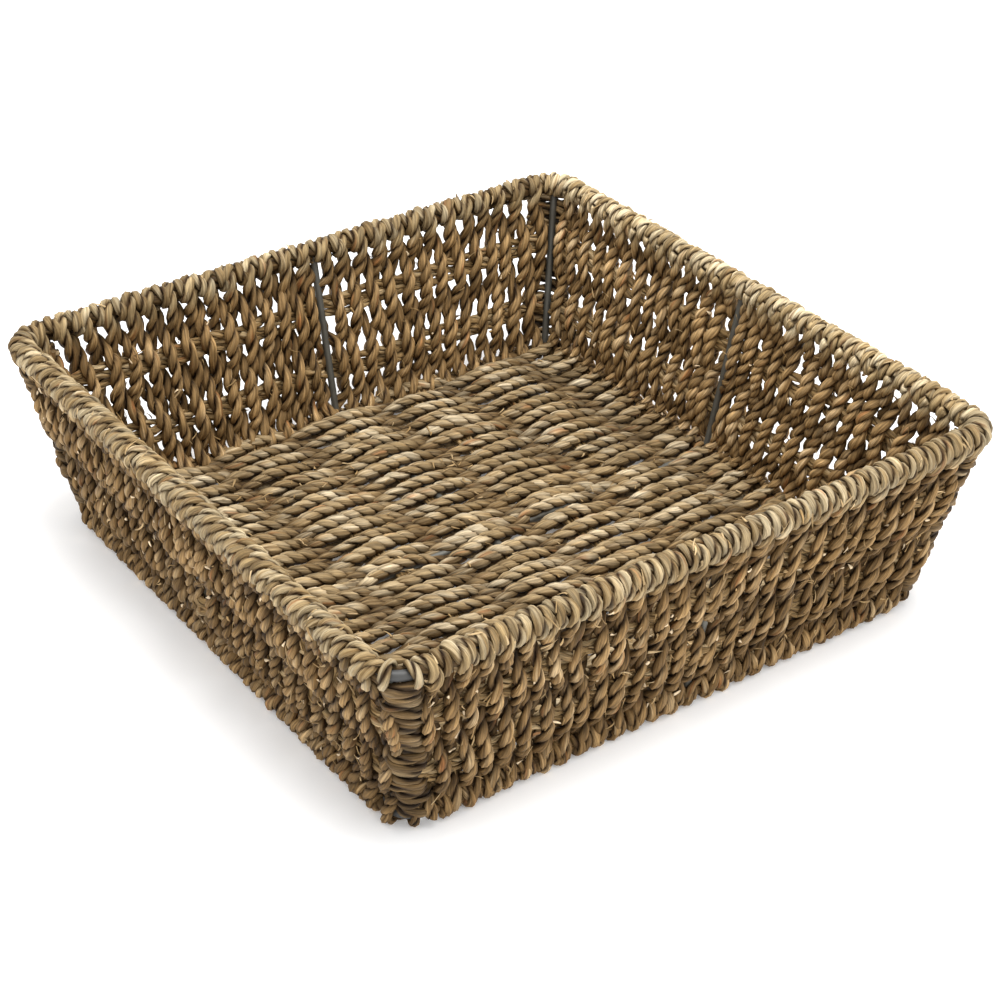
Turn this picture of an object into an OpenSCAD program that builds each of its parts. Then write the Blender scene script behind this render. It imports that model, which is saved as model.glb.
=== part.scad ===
// Shallow square storage basket: a bent steel wire frame woven over with two-ply seagrass cord.
// Origin at the centre of the underside, +Z up, millimetres.
// The sides lean outwards. Each side is woven from looped cord: one leg of every loop lies inside
// the frame's plane and one outside it, and loose strands pass between the two layers.

/* [Wire frame] */
// Half the width across the rim ring, to the middle of the wire
rim_half = 175; // [150:1:200]
// Half the width across the base ring, to the middle of the wire
base_half = 155; // [130:1:175]
// Height of the middle of the rim wire
rim_z = 103; // [80:1:140]
// Height of the middle of the base wire
base_z = 6.2; // [6:0.1:6.4]
// Diameter of the two ring wires
ring_d = 5; // [4:0.1:5.2]
// Diameter of the upright and floor wires
post_d = 4; // [3:0.1:4]
// Bend radius at the corners of the rim ring
rim_r = 15; // [13:0.5:20]
// Bend radius at the corners of the base ring
base_r = 12; // [11:0.5:14]
// Distance of the middle uprights and floor wires from the centre lines
post_off = 5.6; // [5:0.1:6]

/* [Weave] */
// Diameter of the twisted cord
cord_d = 4.2; // [3.6:0.1:4.2]
// Loops of cord along each side
loops = 27; // [21:2:27]
// Spacing of the loops along the rim
rim_pitch = 11.7; // [10:0.1:11.8]
// Spacing of the loops along the base ring
base_pitch = 10.4; // [9:0.1:10.5]
// Spacing of the doubled cords across the floor
floor_pitch = 10.6; // [9:0.1:10.6]
// Outer radius of the cord wrapped round a ring wire
wrap_r = 6.5; // [6.3:0.05:6.5]
// Diameter of one loose strand of a cross band
strand_d = 3.6; // [2.4:0.1:3.6]
// Height of the lower band of loose strands
band_low = 33.5; // [28:0.5:45]
// Height of the upper band of loose strands
band_high = 70.5; // [60:0.5:80]
// Spacing of the bands of loose strands across the floor
floor_band = 50.6; // [44:0.1:52]

/* [Corners] */
// Strands laced round each corner upright
laces = 18; // [10:1:18]
// Thickness of one lacing strand
lace_d = 4.3; // [3.5:0.1:4.3]
// Angle of the rim wire left bare at the front corner, on its front right half
bare = 38; // [10:1:44]

/* [Hidden] */

steel = [0.30, 0.31, 0.29];
bright = [0.52, 0.53, 0.53];
straw = [0.74, 0.64, 0.45];
grass = [0.60, 0.49, 0.31];
olive = [0.52, 0.44, 0.29];

rise = rim_z - base_z;
flare = rim_half - base_half;
lean = atan(flare / rise);
slope = sqrt(flare * flare + rise * rise);
layer = post_d / 2 + cord_d / 2;          // distance of each cord layer from the frame's plane
floor_z = base_z + 0.4;                   // middle of the floor weave
mid = (loops - 1) / 2;
lace_gap = (rim_z - base_z - 2 * wrap_r - lace_d - 1.2) / (laces - 1);

// Turns a side's own position into the whole basket: 0 front right, 1 back right, 2 back left, 3 front left
module side(k) { rotate([0, 0, 90 * k]) children(); }

// Frame of one leaning side: x along the side, y towards the inside, z up the slope from the base ring
module in_side(k) {
    side(k) translate([0, -base_half, base_z]) rotate([lean, 0, 0]) children();
}

// A round bar along x from x0 to x1
module bar(d, x0, x1) { translate([x0, 0, 0]) rotate([0, 90, 0]) cylinder(d = d, h = x1 - x0, $fn = 32); }

// One rounded corner of a tube, at the right-hand end of side 0, from angle a0 to a1
module bend(d, half, r, a0 = 0, a1 = 90) {
    translate([half - r, -(half - r), 0]) rotate([0, 0, -90 + a0])
        rotate_extrude(angle = a1 - a0, $fn = 96) translate([r, 0]) circle(d = d, $fn = 32);
}

// A closed square ring of round section with rounded corners
module ring(d, half, r) {
    for (k = [0:3]) side(k) {
        translate([0, -half, 0]) bar(d, -(half - r), half - r);
        bend(d, half, r);
    }
}

module rim_solid(d) { translate([0, 0, rim_z]) ring(d, rim_half, rim_r); }
module base_solid(d) { translate([0, 0, base_z]) ring(d, base_half, base_r); }

// ---- wire frame ----
module rim_ring() { color(bright) rim_solid(ring_d); }
module base_ring() { color(bright) base_solid(ring_d); }

// Upright wire of the corner at the right-hand end of side k, cut to sit between the rings
module corner_post(k) {
    xb = base_half - base_r + base_r * cos(45);
    xt = rim_half - rim_r + rim_r * cos(45);
    out = (xt - xb) * sqrt(2);
    color(steel) difference() {
        side(k) translate([xb, -xb, base_z]) rotate([0, 0, -45]) rotate([0, atan(out / rise), 0])
            cylinder(d = post_d, h = sqrt(out * out + rise * rise), $fn = 32);
        rim_solid(ring_d);
        base_solid(ring_d);
    }
}

// Upright wire near the middle of side k
module side_post(k, off) {
    color(steel) difference() {
        in_side(k) translate([off, 0, 0]) cylinder(d = post_d, h = slope, $fn = 32);
        rim_solid(ring_d);
        base_solid(ring_d);
    }
}

// Floor wire that runs between the front right and back left sides
module floor_wire_across() {
    color(steel) difference() {
        translate([post_off, -base_half, floor_z]) rotate([-90, 0, 0]) cylinder(d = post_d, h = 2 * base_half, $fn = 32);
        base_solid(ring_d);
    }
}

// Floor wires that run between the front left and back right sides, one from each side of the cross wire
module floor_wire_lengthwise() {
    color(steel) difference() {
        translate([0, post_off, floor_z]) bar(post_d, -base_half, base_half);
        base_solid(ring_d);
        translate([post_off, -40, floor_z]) rotate([-90, 0, 0]) cylinder(d = post_d, h = 80, $fn = 32);
    }
}

// ---- cord wrapped round the rings ----
// Straight run of side k, with part of the rounded corner at its right-hand end (to angle right)
module rim_wrap(k, right) {
    color(straw) translate([0, 0, rim_z]) difference() {
        side(k) {
            translate([0, -rim_half, 0]) bar(2 * wrap_r, -(rim_half - rim_r), rim_half - rim_r);
            bend(2 * wrap_r, rim_half, rim_r, 0, right);
        }
        ring(ring_d, rim_half, rim_r);
    }
}

module base_wrap() {
    color(olive) difference() {
        base_solid(2 * wrap_r);
        base_solid(ring_d);
        translate([-250, -250, -20]) cube([500, 500, 20]);
        // the corners, where the uprights stand, and the four middle uprights and floor wires
        for (k = [0:3]) side(k) {
            xb = base_half - base_r + base_r * cos(45);
            xt = rim_half - rim_r + rim_r * cos(45);
            out = (xt - xb) * sqrt(2);
            translate([xb, -xb, base_z]) rotate([0, 0, -45]) rotate([0, atan(out / rise), 0])
                cylinder(d = post_d, h = 14, $fn = 32);
            translate([0, -base_half, base_z]) rotate([lean, 0, 0])
                translate([k < 2 ? post_off : -post_off, 0, 0]) cylinder(d = post_d, h = 14, $fn = 32);
            translate([k < 2 ? post_off : -post_off, -base_half, floor_z]) rotate([-90, 0, 0])
                cylinder(d = post_d, h = 14, $fn = 32);
        }
    }
}

// Notch that lets the uprights reach the rim wire through the wrap
module post_cut(k, off) {
    in_side(k) translate([off, 0, slope - 14]) cylinder(d = post_d, h = 14, $fn = 32);
}
module corner_cut(k) {
    xb = base_half - base_r + base_r * cos(45);
    xt = rim_half - rim_r + rim_r * cos(45);
    out = (xt - xb) * sqrt(2);
    side(k) translate([xb, -xb, base_z]) rotate([0, 0, -45]) rotate([0, atan(out / rise), 0])
        translate([0, 0, sqrt(out * out + rise * rise) - 14]) cylinder(d = post_d, h = 14, $fn = 32);
}

// ---- walls ----
// One straight leg of cord from xb on the base ring to xt on the rim ring
module leg(xb, xt) {
    translate([xb, 0, 0]) rotate([0, atan((xt - xb) / slope), 0])
        cylinder(d = cord_d, h = sqrt(slope * slope + (xt - xb) * (xt - xb)), $fn = 20);
}

// All legs of one side, inner layer and outer layer, ending against the wraps
module wall_cords(k) {
    color(grass) in_side(k) difference() {
        for (i = [0:loops - 1]) {
            translate([0, layer, 0]) leg((i - mid - 0.25) * base_pitch, (i - mid - 0.25) * rim_pitch);
            translate([0, -layer, 0]) leg((i - mid + 0.25) * base_pitch, (i - mid + 0.25) * rim_pitch);
        }
        bar(2 * wrap_r, -rim_half, rim_half);
        translate([0, 0, slope]) bar(2 * wrap_r, -rim_half, rim_half);
    }
}

// A band of three loose strands between the two layers of side k, parted by the middle upright
module weft(k, z, off) {
    v = (z - base_z) / cos(lean);
    e = base_half - base_r + (rim_half - rim_r - base_half + base_r) * (z - base_z) / rise;
    color(olive) in_side(k) for (j = [-1:1]) translate([0, 0, v + j * (strand_d + 0.1)]) {
        bar(strand_d, -e, off - post_d / 2);
        bar(strand_d, off + post_d / 2, e);
    }
}

// ---- corners ----
// Stacked strands that pass round the outside of the corner upright at the right-hand end of side k
module corner_lacing(k) {
    color(grass) side(k) for (i = [0:laces - 1]) {
        z = base_z + wrap_r + 0.6 + lace_d / 2 + i * lace_gap;
        t = (z - base_z) / rise;
        c = base_half - base_r + (rim_half - rim_r - base_half + base_r) * t;
        r = base_r + (rim_r - base_r) * t;
        translate([c, -c, z]) rotate([0, 0, -90]) rotate_extrude(angle = 90, $fn = 64)
            translate([r + post_d / 2 + lace_d / 2 + 0.3, 0]) circle(d = lace_d, $fn = 16);
    }
}

// ---- floor ----
module floor_cords() {
    color(grass) difference() {
        for (i = [0:loops - 1]) {
            translate([0, (i - mid - 0.25) * floor_pitch, floor_z + layer]) bar(cord_d, -base_half, base_half);
            translate([0, (i - mid + 0.25) * floor_pitch, floor_z - layer]) bar(cord_d, -base_half, base_half);
        }
        for (k = [1, 3]) side(k) translate([0, -base_half, base_z]) bar(2 * wrap_r, -base_half, base_half);
    }
}

// Bands of loose strands between the two layers of floor cords, parted by the lengthwise wires
module floor_wefts() {
    y1 = base_half - wrap_r;
    color(olive) for (x = [-2 * floor_band, -floor_band, 0, floor_band, 2 * floor_band], j = [-1:1])
        if (x != 0 || j < 1)
            translate([x + (x == 0 ? j * (strand_d + 0.1) + post_off - post_d / 2 - strand_d / 2 - 0.1
                                   : j * (strand_d + 0.1)), 0, floor_z])
                rotate([0, 0, 90]) {
                    bar(strand_d, -y1 + 0.3, post_off - post_d / 2);
                    bar(strand_d, post_off + post_d / 2, y1 - 0.3);
                }
}

rim_ring();
base_ring();
corner_post(3);  // corner_post_front
corner_post(0);  // corner_post_right
corner_post(1);  // corner_post_back
corner_post(2);  // corner_post_left
side_post(0, post_off);  // side_post_front_right
side_post(1, post_off);  // side_post_back_right
side_post(2, -post_off);  // side_post_back_left
side_post(3, -post_off);  // side_post_front_left
floor_wire_across();
floor_wire_lengthwise();
difference() { rim_wrap(0, 90); post_cut(0, post_off); corner_cut(0); }  // rim_wrap_front_right
difference() { rim_wrap(1, 90); post_cut(1, post_off); corner_cut(1); }  // rim_wrap_back_right
difference() { rim_wrap(2, 90); post_cut(2, -post_off); corner_cut(2); }  // rim_wrap_back_left
difference() { rim_wrap(3, 90 - bare); post_cut(3, -post_off); corner_cut(3); }  // rim_wrap_front_left
base_wrap();
wall_cords(0);  // wall_cords_front_right
wall_cords(1);  // wall_cords_back_right
wall_cords(2);  // wall_cords_back_left
wall_cords(3);  // wall_cords_front_left
weft(0, band_low, post_off);  // weft_low_front_right
weft(1, band_low, post_off);  // weft_low_back_right
weft(2, band_low, -post_off);  // weft_low_back_left
weft(3, band_low, -post_off);  // weft_low_front_left
weft(0, band_high, post_off);  // weft_high_front_right
weft(1, band_high, post_off);  // weft_high_back_right
weft(2, band_high, -post_off);  // weft_high_back_left
weft(3, band_high, -post_off);  // weft_high_front_left
corner_lacing(3);  // corner_lacing_front
corner_lacing(0);  // corner_lacing_right
corner_lacing(1);  // corner_lacing_back
corner_lacing(2);  // corner_lacing_left
floor_cords();
floor_wefts();
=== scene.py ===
"""Looks of the shallow seagrass basket: every cord, strand and wrap is swept here round the CAD wire frame."""

import math

import bpy
import numpy as np
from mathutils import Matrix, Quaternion, Vector


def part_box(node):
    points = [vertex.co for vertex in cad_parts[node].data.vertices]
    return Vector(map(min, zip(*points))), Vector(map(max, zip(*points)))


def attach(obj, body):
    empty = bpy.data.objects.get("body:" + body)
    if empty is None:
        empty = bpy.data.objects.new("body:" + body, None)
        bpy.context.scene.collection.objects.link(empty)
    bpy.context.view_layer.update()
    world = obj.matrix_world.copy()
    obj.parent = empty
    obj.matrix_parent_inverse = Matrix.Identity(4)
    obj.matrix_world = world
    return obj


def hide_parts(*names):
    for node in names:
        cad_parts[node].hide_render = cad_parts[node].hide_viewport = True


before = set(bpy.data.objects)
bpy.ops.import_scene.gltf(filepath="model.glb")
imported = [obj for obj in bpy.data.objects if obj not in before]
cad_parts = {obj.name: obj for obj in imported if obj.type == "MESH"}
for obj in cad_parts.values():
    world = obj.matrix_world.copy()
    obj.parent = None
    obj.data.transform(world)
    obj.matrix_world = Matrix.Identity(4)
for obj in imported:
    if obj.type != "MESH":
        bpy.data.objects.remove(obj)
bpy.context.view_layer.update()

# ---------------------------------------------------------------- sizes, in mm, from the CAD frame
def box_mm(node):
    lo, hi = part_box(node)
    return np.array(lo) * 1000.0, np.array(hi) * 1000.0


r_lo, r_hi = box_mm("rim_ring")
b_lo, b_hi = box_mm("base_ring")
RW = (r_hi[2] - r_lo[2]) / 2            # radius of the ring wires
RIM_Z, BASE_Z = (r_hi[2] + r_lo[2]) / 2, (b_hi[2] + b_lo[2]) / 2
RIM_H, BASE_H = r_hi[0] - RW, b_hi[0] - RW
p_lo, p_hi = box_mm("floor_wire_across")
POST_R, POST_OFF = (p_hi[0] - p_lo[0]) / 2, (p_hi[0] + p_lo[0]) / 2
FLOOR_Z = (p_hi[2] + p_lo[2]) / 2
RIM_R, BASE_R = 15.0, 12.0
RISE, FLARE = RIM_Z - BASE_Z, RIM_H - BASE_H
LEAN = math.atan2(FLARE, RISE)
SL = math.hypot(FLARE, RISE)
SN, CS = math.sin(LEAN), math.cos(LEAN)
N_LOOP = 27
MID = (N_LOOP - 1) / 2
P_RIM, P_BASE = 11.7, 10.4
BAND_HIGH, BAND_LOW = 70.5, 33.5
FLOOR_BAND = 50.6
DS = 1.55                               # ring spacing along a cord
rng = np.random.default_rng(41)


# ---------------------------------------------------------------- noise and small maths
def snoise(s, corr, r=rng):
    """Smooth random curve of about unit spread along s."""
    k = int(np.ptp(s) / corr) + 4
    v = r.standard_normal(k)
    t = (s - s.min()) / corr + r.random()
    i = np.floor(t).astype(int)
    f = t - i
    f = f * f * (3 - 2 * f)
    return v[i] * (1 - f) + v[i + 1] * f


class Field:
    """Smooth random surface of about unit spread over (a, b)."""

    def __init__(self, na, nb, ca, cb):
        self.v = rng.standard_normal((na + 3, nb + 3))
        self.ca, self.cb = ca, cb

    def __call__(self, a, b):
        a, b = np.broadcast_arrays(np.asarray(a, float) / self.ca, np.asarray(b, float) / self.cb)
        i, j = np.floor(a).astype(int), np.floor(b).astype(int)
        f, g = a - i, b - j
        f, g = f * f * (3 - 2 * f), g * g * (3 - 2 * g)
        i, j = np.clip(i, 0, self.v.shape[0] - 2), np.clip(j, 0, self.v.shape[1] - 2)
        v = self.v
        return (v[i, j] * (1 - f) + v[i + 1, j] * f) * (1 - g) + (v[i, j + 1] * (1 - f) + v[i + 1, j + 1] * f) * g


def smooth(t):
    t = np.clip(t, 0, 1)
    return t * t * (3 - 2 * t)


def unit(v):
    return v / np.maximum(np.linalg.norm(v, axis=-1, keepdims=True), 1e-9)


def side_point(k, u, w, v):
    """Side k's own position (u along, w outwards from the frame's plane, v up the slope) in the basket's frame.
    Past the straight run it follows the rounded corner."""
    u, w, v = np.broadcast_arrays(u, w, v)
    r = BASE_R + (RIM_R - BASE_R) * v / SL
    c = BASE_H + v * SN - r
    a = np.clip(np.abs(u) - c, 0, None) / r
    x = np.where(a > 0, np.sign(u) * (c + (r + w * CS) * np.sin(a)), u)
    y = -(c + (r + w * CS) * np.cos(a))
    z = BASE_Z + v * CS - w * SN
    c, s = [(1, 0), (0, 1), (-1, 0), (0, -1)][k % 4]
    return np.stack([x * c - y * s, x * s + y * c, z], -1)


def side_dir(k, v):
    c, s = [(1, 0), (0, 1), (-1, 0), (0, -1)][k % 4]
    return np.array([v[0] * c - v[1] * s, v[0] * s + v[1] * c, v[2]], float)


def turn(k, p):
    c, s = [(1, 0), (0, 1), (-1, 0), (0, -1)][k % 4]
    return np.stack([p[..., 0] * c - p[..., 1] * s, p[..., 0] * s + p[..., 1] * c, p[..., 2]], -1)


# ---------------------------------------------------------------- colours, linear
STRAW = np.array([0.65, 0.525, 0.325])
TAN = np.array([0.405, 0.284, 0.135])
OLIVE = np.array([0.245, 0.168, 0.076])
RED = np.array([0.38, 0.17, 0.06])
PALE = np.array([0.70, 0.60, 0.44])
# DARK is the colour of the painted shade on a ply's hidden inner side
DARK = np.array([0.030, 0.015, 0.006])
WARM = np.array([0.93, 1.0, 1.12])       # shade in a crevice turns a little redder


def blend_cols(t):
    """0 olive, 0.5 tan, 1 straw."""
    t = np.clip(t, 0, 1)[..., None]
    return np.where(t < 0.5, OLIVE + (TAN - OLIVE) * t * 2, TAN + (STRAW - TAN) * (t - 0.5) * 2)


TINT = {"seagrass_wall": np.array([1.03, 0.925, 0.835]), "seagrass_rim": np.array([0.965, 0.975, 1.0]),
        "seagrass_floor": np.array([1.0, 1.02, 1.11]), "seagrass_weft": np.array([1.04, 0.95, 0.84])}


def ring_off(V, k, half, r, z):
    """Horizontal and total distance of points from side k's stretch of a ring wire."""
    q = turn((4 - k) % 4, V)
    c = half - r
    ax, ay = np.abs(q[..., 0]), -q[..., 1]
    off = np.where(ax > c, np.hypot(ax - c, np.maximum(ay - c, 0.0)) - r, ay - half)
    return off, np.hypot(off, q[..., 2] - z)


def shade_wall(k, lo=0.24, deep=7.4, gain=1.0, foot=0.0):
    """Painted shade for side k: dark between the two layers of cord and against the ring wires, full on the faces. gain
    paints the whole side lighter or darker for the light it gets, and foot paints shade towards the bottom.
    """
    def f(V):
        q = turn((4 - k) % 4, V)
        t = np.clip((q[..., 2] - BASE_Z) / RISE, 0, 1)
        r0 = BASE_R + (RIM_R - BASE_R) * t
        c = (BASE_H - BASE_R) + ((RIM_H - RIM_R) - (BASE_H - BASE_R)) * t
        ax, ay = np.abs(q[..., 0]), -q[..., 1]
        off = np.where(ax > c, np.hypot(ax - c, np.maximum(ay - c, 0.0)) - r0, ay - c - r0)
        g = smooth((np.abs(off) * CS - 1.0) / (deep - 1.0))
        for half, r, z, sg in ((RIM_H, RIM_R, RIM_Z, 1), (BASE_H, BASE_R, BASE_Z, -1)):
            d = ring_off(V, k, half, r, z)[1]
            m = smooth((sg * (q[..., 2] - z) + 13) / 8)
            g = g * (1 - m) + m * smooth((d - 3.0) / 3.8)
        return (lo + (1 - lo) * g) * gain * (1 - foot * (1 - smooth(t / 0.7)))
    return f


def shade_ring(k, half, r, z, lo=0.25, gain=1.0):
    def f(V):
        return (lo + (1 - lo) * smooth((ring_off(V, k, half, r, z)[1] - 3.0) / 3.9)) * gain
    return f


def shade_floor(V, lo=0.19):
    return lo + (1 - lo) * smooth((np.abs(V[..., 2] - FLOOR_Z) - 0.5) / 5.8)


class Piece:
    def __init__(self, name, nodes, slot, mat, shade=None, rim_light_gain=None):
        self.name, self.nodes, self.slot, self.mat, self.shade, self.rim_light_gain = name, nodes, slot, mat, shade, rim_light_gain
        self.v, self.q, self.t, self.col, self.fib = [], [], [], [], []
        self.n = 0

    def grid(self, V, C, F, closed=True, caps=True):
        """V, C, F are (rings, sides, 3)."""
        n, m = V.shape[:2]
        base = self.n
        if self.shade is not None:
            # the piece's shade function paints shade into the colour
            C = C * self.shade(V)[..., None] ** WARM
        tint = TINT[self.slot]
        # near the rim the wall cords take the rim's tint times a per-side gain, which paints how much light each side's
        # top gets
        if self.slot == "seagrass_wall" and self.rim_light_gain is not None:
            near = smooth((V[..., 2:] - (RIM_Z - 13)) / 11)
            tint = tint * (1 - near) + TINT["seagrass_rim"] * self.rim_light_gain * near
        k = 1 - smooth(C.mean(-1, keepdims=True) / 0.20)        # crevices keep the wall's brown
        C = C * (tint * (1 - k) + TINT["seagrass_wall"] * k)
        self.v.append(V.reshape(-1, 3)); self.col.append(C.reshape(-1, 3)); self.fib.append(F.reshape(-1, 3))
        i = np.arange(n - 1)[:, None]
        j = np.arange(m if closed else m - 1)[None, :]
        a = base + i * m + j
        b = base + i * m + (j + 1) % m
        self.q.append(np.stack([a, b, b + m, a + m], -1).reshape(-1, 4))
        self.n += n * m
        if closed and caps:
            for ring, flip in ((0, True), (n - 1, False)):
                c = V[ring].mean(0)
                self.v.append(c[None]); self.col.append(C[ring].mean(0)[None] * 0.8); self.fib.append(F[ring].mean(0)[None])
                ci = self.n
                self.n += 1
                r = base + ring * m + np.arange(m)
                nx = base + ring * m + (np.arange(m) + 1) % m
                tri = np.stack([np.full(m, ci), nx, r] if flip else [np.full(m, ci), r, nx], -1)
                self.t.append(tri)

    def build(self):
        V = np.concatenate(self.v) * 0.001
        V[:, 2] = np.maximum(V[:, 2], 0.0001)
        q = np.concatenate(self.q)
        t = np.concatenate(self.t) if self.t else np.zeros((0, 3), int)
        me = bpy.data.meshes.new(self.name)
        me.vertices.add(len(V))
        me.vertices.foreach_set("co", V.astype(np.float32).ravel())
        me.loops.add(q.size + t.size)
        me.loops.foreach_set("vertex_index", np.concatenate([q.ravel(), t.ravel()]).astype(np.int32))
        starts = np.concatenate([np.arange(len(q)) * 4, q.size + np.arange(len(t)) * 3]).astype(np.int32)
        me.polygons.add(len(starts))
        me.polygons.foreach_set("loop_start", starts)
        me.polygons.foreach_set("use_smooth", np.ones(len(starts), bool))
        me.update(calc_edges=True)
        me.validate()
        a = me.attributes.new("fib", "FLOAT_VECTOR", "POINT")
        a.data.foreach_set("vector", np.concatenate(self.fib).astype(np.float32).ravel())
        c = np.concatenate(self.col)
        a = me.attributes.new("tone", "FLOAT_COLOR", "POINT")
        a.data.foreach_set("color", np.concatenate([c, np.ones((len(c), 1))], 1).astype(np.float32).ravel())
        ob = bpy.data.objects.new(self.name, me)
        bpy.context.scene.collection.objects.link(ob)
        me.materials.append(self.mat)
        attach(ob, "root")
        if self.nodes:
            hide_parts(*self.nodes)
        print(f"{self.name}: {len(V)} vertices, {2 * len(q) + len(t)} triangles", flush=True)
        return ob


# ---------------------------------------------------------------- sweeping cords
def resample(P, extra, ds=DS):
    d = np.linalg.norm(np.diff(P, axis=0), axis=1)
    s = np.concatenate([[0], np.cumsum(d)])
    n = max(3, int(round(s[-1] / ds)) + 1)
    t = np.linspace(0, s[-1], n)
    Q = np.stack([np.interp(t, s, P[:, i]) for i in range(3)], -1)
    return t, Q, [np.interp(t, s, e) if np.ndim(e) == 1 else np.stack([np.interp(t, s, e[:, i]) for i in range(e.shape[1])], -1) for e in extra]


def frames(P, B):
    T = unit(np.gradient(P, axis=0))
    N = unit(np.cross(B, T))
    return T, N, np.cross(T, N)


def cord(P, B, D, lay, flat=1.0, tone=0.45, sides=12, plies=2, spread=0.22, shade=1.0, ds=DS, blade_depth=0.13, taper=0.0, full=0.0):
    """Laid cord swept along P. B is a direction across the path, D its diameter, lay one full turn of the plies.
    Each ply is a bundle of flat blades, so its section has alternate ridges and grooves.
    Returns the arc length of each ring and a list of (V, C, F) grids, one per ply."""
    D, flat, tone, lay, full = (np.broadcast_to(np.asarray(q, float), (len(P),)) for q in (D, flat, tone, lay, full))
    if B.ndim == 1:
        B = np.broadcast_to(B, P.shape)
    s, P, (D, flat, tone, lay, full, B) = resample(P, [D, flat, tone, lay, full, np.array(B)], ds)
    T, N, Bn = frames(P, B)
    D = D * (1 + 0.04 * snoise(s, 20))
    if taper:
        D = D * (0.35 + 0.65 * np.minimum(smooth(s / taper), smooth((s[-1] - s) / taper)))
    step = np.diff(s)
    psi = np.concatenate([[0], np.cumsum(4 * math.pi * step / (lay[1:] + lay[:-1]))])
    psi = psi + 0.35 * snoise(s, 16) + rng.random() * 6.283
    kh, ka, kb = (0.240, 0.258, 0.300) if plies == 2 else (0.27, 0.215, 0.30)
    out = []
    th = np.arange(sides) * 2 * math.pi / sides
    even = (np.arange(sides) % 2 == 0)[None]
    # the blades in a ply are twisted the other way, so they run close to the cord's own direction
    tv = th[None] - 1.25 * (psi - psi[0])[:, None] + 0.4 * snoise(s, 14)[:, None]
    jj = np.repeat(np.arange(sides)[None] + 0.5, len(s), 0)
    ss = np.repeat(s[:, None], sides, 1)
    for j in range(plies):
        a = psi + j * 2 * math.pi / plies
        rh = kh * D * (1 + 0.05 * snoise(s, 9))
        er = np.cos(a)[:, None] * N + np.sin(a)[:, None] * Bn
        C = P + (rh[:, None] * (np.cos(a) * flat)[:, None] * N + (rh * np.sin(a))[:, None] * Bn)
        Tp = unit(np.gradient(C, axis=0))
        er = unit(er - (er * Tp).sum(-1, keepdims=True) * Tp)
        et = np.cross(Tp, er)
        size = 1 + 0.085 * snoise(s, 6) + 0.05 * snoise(s, 2.5)
        ra, rb = ka * D * size, (kb + 0.045 * full) * D * size
        blade = Field(int(s[-1] / 12) + 2, sides + 2, 12, 1)
        relief = np.where(even, 1 + 0.45 * blade_depth, 1 - blade_depth) + 0.6 * blade_depth * blade(ss, jj) + 0.012 * rng.standard_normal((len(s), sides))
        x, y = ra[:, None] * np.cos(tv) * relief, rb[:, None] * np.sin(tv) * relief
        V = C[:, None] + x[..., None] * er[:, None] + y[..., None] * et[:, None]
        if np.any(flat < 0.999):
            off = ((V - P[:, None]) * N[:, None]).sum(-1)
            V = V + (off * (np.minimum(flat, 1)[:, None] - 1) * 0.55)[..., None] * N[:, None]
        # tone: each ply differs and each blade round the ply differs; the grooves between blades and the hidden inner
        # side that faces the other ply get painted shade
        hue = Field(int(s[-1] / 15) + 2, sides + 2, 15, 1)
        tt = tone[:, None] + spread * 0.45 * rng.standard_normal() + 0.9 * spread * snoise(s, 9)[:, None] + spread * hue(ss, jj)
        col = blend_cols(tt)
        red = smooth((Field(int(s[-1] / 9) + 2, sides + 2, 9, 1)(ss, jj) - 0.9) / 0.9)[..., None]
        col = col * (1 - 0.75 * red) + RED * 0.75 * red
        groove = np.where(even, 0.0, 0.50)[..., None] * smooth(0.5 + 0.6 * blade(ss, jj))[..., None]
        col = col * (1 - groove) ** WARM ** 1.8
        inner = (smooth((0.42 - np.cos(tv)) / 1.0) * 0.90)[..., None]
        col = (col * (1 - inner) + DARK * inner) * shade
        F = np.stack([ss * 0.06 + rng.random() * 50,
                      np.repeat(np.cos(th)[None], len(s), 0) * 1.3 + rng.random() * 50,
                      np.repeat(np.sin(th)[None], len(s), 0) * 1.3 + rng.random() * 50], -1)
        out.append((V, col, F))
    return s, out


def strand(P, B, D, flat=1.0, tone=0.5, spread=0.2, shade=1.0, ds=DS, turn_len=60.0, taper=0.0, plies=3):
    """Loosely twisted bundle of a few blades."""
    return cord(P, B, D, turn_len, flat, tone, 10, plies, spread, shade, ds, 0.10, taper)[1]


def blade_strip(p, d, nrm, length, width, curl, tone):
    """A thin cut or split blade end that stands off the weave."""
    n = 9
    t = np.linspace(0, 1, n)
    d, nrm = unit(np.array(d, float)), unit(np.array(nrm, float))
    side = unit(np.cross(d, nrm))
    w2 = rng.standard_normal() * 0.35
    P = p + length * (t[:, None] * d + (curl * t ** 2)[:, None] * nrm + (w2 * t ** 2)[:, None] * side)
    T = unit(np.gradient(P, axis=0))
    tw = rng.standard_normal() * 0.8 * t
    sd = unit(np.cross(T, nrm))
    up = np.cross(sd, T)
    a = sd * np.cos(tw)[:, None] + up * np.sin(tw)[:, None]
    b = np.cross(T, a)
    w = width * (1 - 0.75 * t ** 1.6)[:, None] * 0.5
    V = np.stack([P - a * w, P - b * w * 0.35, P + a * w, P + b * w * 0.35], 1)
    col = np.broadcast_to(blend_cols(np.array(tone)), V.shape).copy() * (0.8 + 0.25 * t[:, None, None])
    if tone > 1.0:
        col = np.broadcast_to(PALE, V.shape).copy()
    F = np.stack([np.repeat((t * length * 0.06)[:, None], 4, 1) + rng.random() * 50, np.tile(np.array([0, .4, .8, .4]), (n, 1)), np.tile(np.array([0, .3, 0, -.3]), (n, 1)) + rng.random() * 50], -1)
    return V, col, F


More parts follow.
